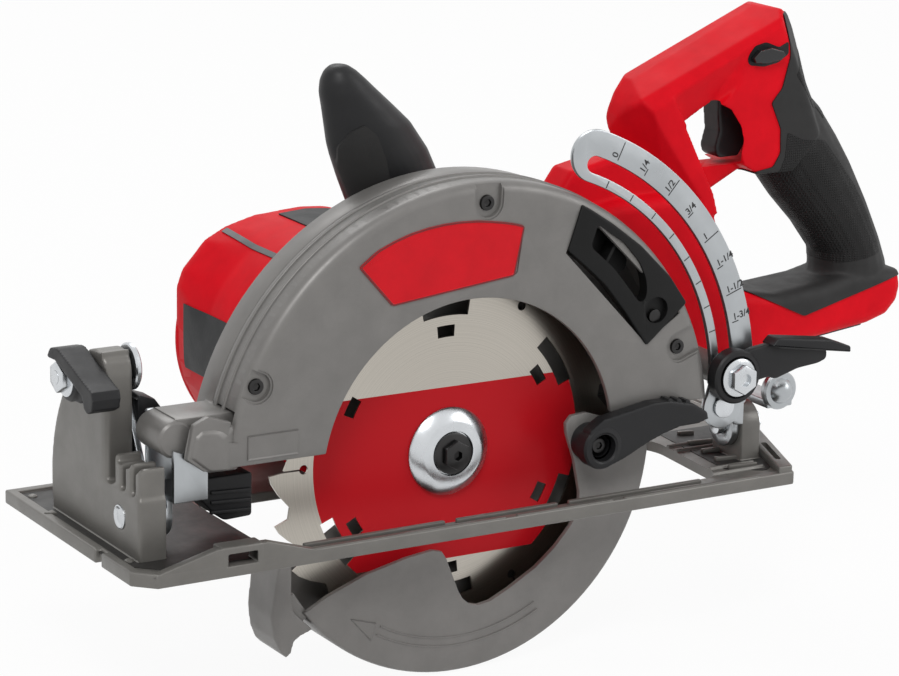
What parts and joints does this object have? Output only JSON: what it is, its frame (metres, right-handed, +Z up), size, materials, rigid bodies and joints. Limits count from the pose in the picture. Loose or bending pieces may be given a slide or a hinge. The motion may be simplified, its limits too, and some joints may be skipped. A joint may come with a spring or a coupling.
{
  "type": "rear handle circular saw",
  "caption": "Cordless rear handle circular saw with a sidewinder motor, swinging depth bracket, tilting shoe, spring-closed lower blade guard and folding rafter hook.",
  "frame": {"origin": "on the sole plane, straight below the arbor and midway across the shoe", "axes": "+X to the rear of the saw, +Y from the blade towards the motor, +Z up"},
  "size_m": [0.4571, 0.1643, 0.2917],
  "materials": {
    "shoe_metal": "cast and painted, worn at the edges",
    "zinc_plate": "zinc plated sheet",
    "zinc_hardware": "zinc plated",
    "black_hardware": "black oxide",
    "guard_metal": "cast magnesium, grey paint",
    "lower_guard_metal": "cast, grey paint",
    "black_plastic": "fine texture",
    "red_plastic": "satin, glass filled",
    "badge_face": "satin label",
    "rubber_grip": "soft overmould",
    "blade_steel": "ground",
    "turned_steel": "turned",
    "bearing_steel": "polished",
    "lamination": "varnished laminations",
    "contact_metal": "plated"
  },
  "bodies": {
    "base": {"base_shoe": "shoe_metal", "front_bevel_pivot": "zinc_hardware", "rear_bevel_pivot": "zinc_hardware", "bevel_clamp_bolt": "zinc_hardware"},
    "bevel_lever": {"bevel_lever": "black_plastic", "bevel_clamp_nut": "zinc_hardware"},
    "bevel_carriage": {"bevel_quadrant": "zinc_plate", "front_hinge_bracket": "zinc_plate", "front_hinge_pin": "zinc_hardware", "bevel_stop_block": "black_plastic", "rear_pivot_bracket": "zinc_plate", "link_pin": "zinc_hardware"},
    "depth_bracket": {"depth_bracket": "zinc_plate"},
    "saw_body": {"depth_clamp_bolt": "black_hardware", "depth_clamp_washer": "zinc_hardware", "upper_guard_body": "guard_metal", "upper_guard_cover": "guard_metal", "guard_screws": "black_hardware", "badge_plate": "badge_face", "chip_chute": "black_plastic", "chip_chute_screw": "black_hardware", "gear_case": "guard_metal", "spindle_bearing_front": "bearing_steel", "spindle_bearing_rear": "bearing_steel", "rotor_bearing_front": "bearing_steel", "rotor_bearing_rear": "bearing_steel", "motor_housing": "red_plastic", "motor_end_cap": "red_plastic", "stator": "lamination", "handle_shell_near": "red_plastic", "handle_shell_far": "red_plastic", "handle_screws": "black_hardware", "grip_near": "rubber_grip", "grip_far": "rubber_grip", "battery_seat": "black_plastic", "battery_terminals": "contact_metal", "switch_module": "black_plastic", "control_module": "black_plastic", "front_handle": "rubber_grip", "rafter_hook_pin": "zinc_hardware"},
    "depth_lever": {"depth_lever": "black_plastic", "depth_clamp_nut": "zinc_hardware"},
    "blade_arbor": {"saw_blade": "blade_steel", "spindle": "turned_steel", "inner_flange": "zinc_hardware", "outer_flange": "zinc_hardware", "blade_bolt": "black_hardware", "drive_gear": "turned_steel"},
    "rotor": {"motor_pinion": "turned_steel", "rotor_shaft": "turned_steel", "rotor_core": "lamination", "cooling_fan": "black_plastic"},
    "lower_guard": {"lower_guard": "lower_guard_metal", "guard_lever": "black_plastic", "guard_lever_screw": "black_hardware", "guard_spring": "turned_steel"},
    "spindle_lock": {"spindle_lock": "black_plastic"},
    "trigger": {"trigger": "black_plastic"},
    "lock_off": {"lock_off_button": "black_plastic"},
    "rafter_hook": {"rafter_hook": "zinc_plate"}
  },
  "joints": [
    {"name": "bevel_tilt", "type": "hinge", "parent": "base", "child": "bevel_carriage", "pos_m": [0, -0.03, 0.0206], "axis": [1, 0, 0], "range_deg": [0, 50]},
    {"name": "bevel_lever_turn", "type": "hinge", "parent": "base", "child": "bevel_lever", "pos_m": [-0.17, 0.00498, 0.07657], "axis": [-1, 0, 0], "range_deg": [0, 60]},
    {"name": "depth_swing", "type": "hinge", "parent": "bevel_carriage", "child": "saw_body", "pos_m": [-0.145, -0.033, 0.0566], "axis": [0, -1, 0], "range_deg": [0, 24.84]},
    {"name": "bracket_swing", "type": "hinge", "parent": "bevel_carriage", "child": "depth_bracket", "pos_m": [0.143, -0.045, 0.0356], "axis": [0, 1, 0], "range_deg": [0, 20.6]},
    {"name": "depth_lever_turn", "type": "hinge", "parent": "saw_body", "child": "depth_lever", "pos_m": [0.144, -0.052, 0.052], "axis": [0, -1, 0], "range_deg": [0, 60]},
    {"name": "blade_spin", "type": "hinge", "parent": "saw_body", "child": "blade_arbor", "pos_m": [0, -0.03, 0.0286], "axis": [0, 1, 0], "continuous": true},
    {"name": "rotor_spin", "type": "hinge", "parent": "saw_body", "child": "rotor", "pos_m": [-0.01634, 0.04, 0.05376], "axis": [0, 1, 0], "continuous": true},
    {"name": "guard_swing", "type": "hinge", "parent": "saw_body", "child": "lower_guard", "pos_m": [0, -0.03, 0.0286], "axis": [0, -1, 0], "range_deg": [0, 125], "stiffness_Nm_per_rad": 0.25, "springref_deg": -34.38},
    {"name": "spindle_lock_press", "type": "slide", "parent": "saw_body", "child": "spindle_lock", "axis": [-0.9659, 0, -0.2588], "range_m": [0, 0.0045], "stiffness_N_per_m": 300, "springref_m": -0.004},
    {"name": "trigger_pull", "type": "hinge", "parent": "saw_body", "child": "trigger", "pos_m": [0.184, 0.009, 0.172], "axis": [0, -1, 0], "range_deg": [0, 14], "stiffness_Nm_per_rad": 0.3, "springref_deg": -11.46},
    {"name": "lock_off_press", "type": "slide", "parent": "saw_body", "child": "lock_off", "axis": [0, 1, 0], "range_m": [0, 0.004], "stiffness_N_per_m": 300, "springref_m": -0.004},
    {"name": "rafter_hook_swing", "type": "hinge", "parent": "saw_body", "child": "rafter_hook", "pos_m": [0.189, 0.019, 0.027], "axis": [0, 0, 1], "range_deg": [0, 180]}
  ],
  "couplings": [
    {"joint": "bracket_swing", "follows": "depth_swing", "ratio": 0.825},
    {"joint": "rotor_spin", "follows": "blade_spin", "ratio": -4}
  ]
}
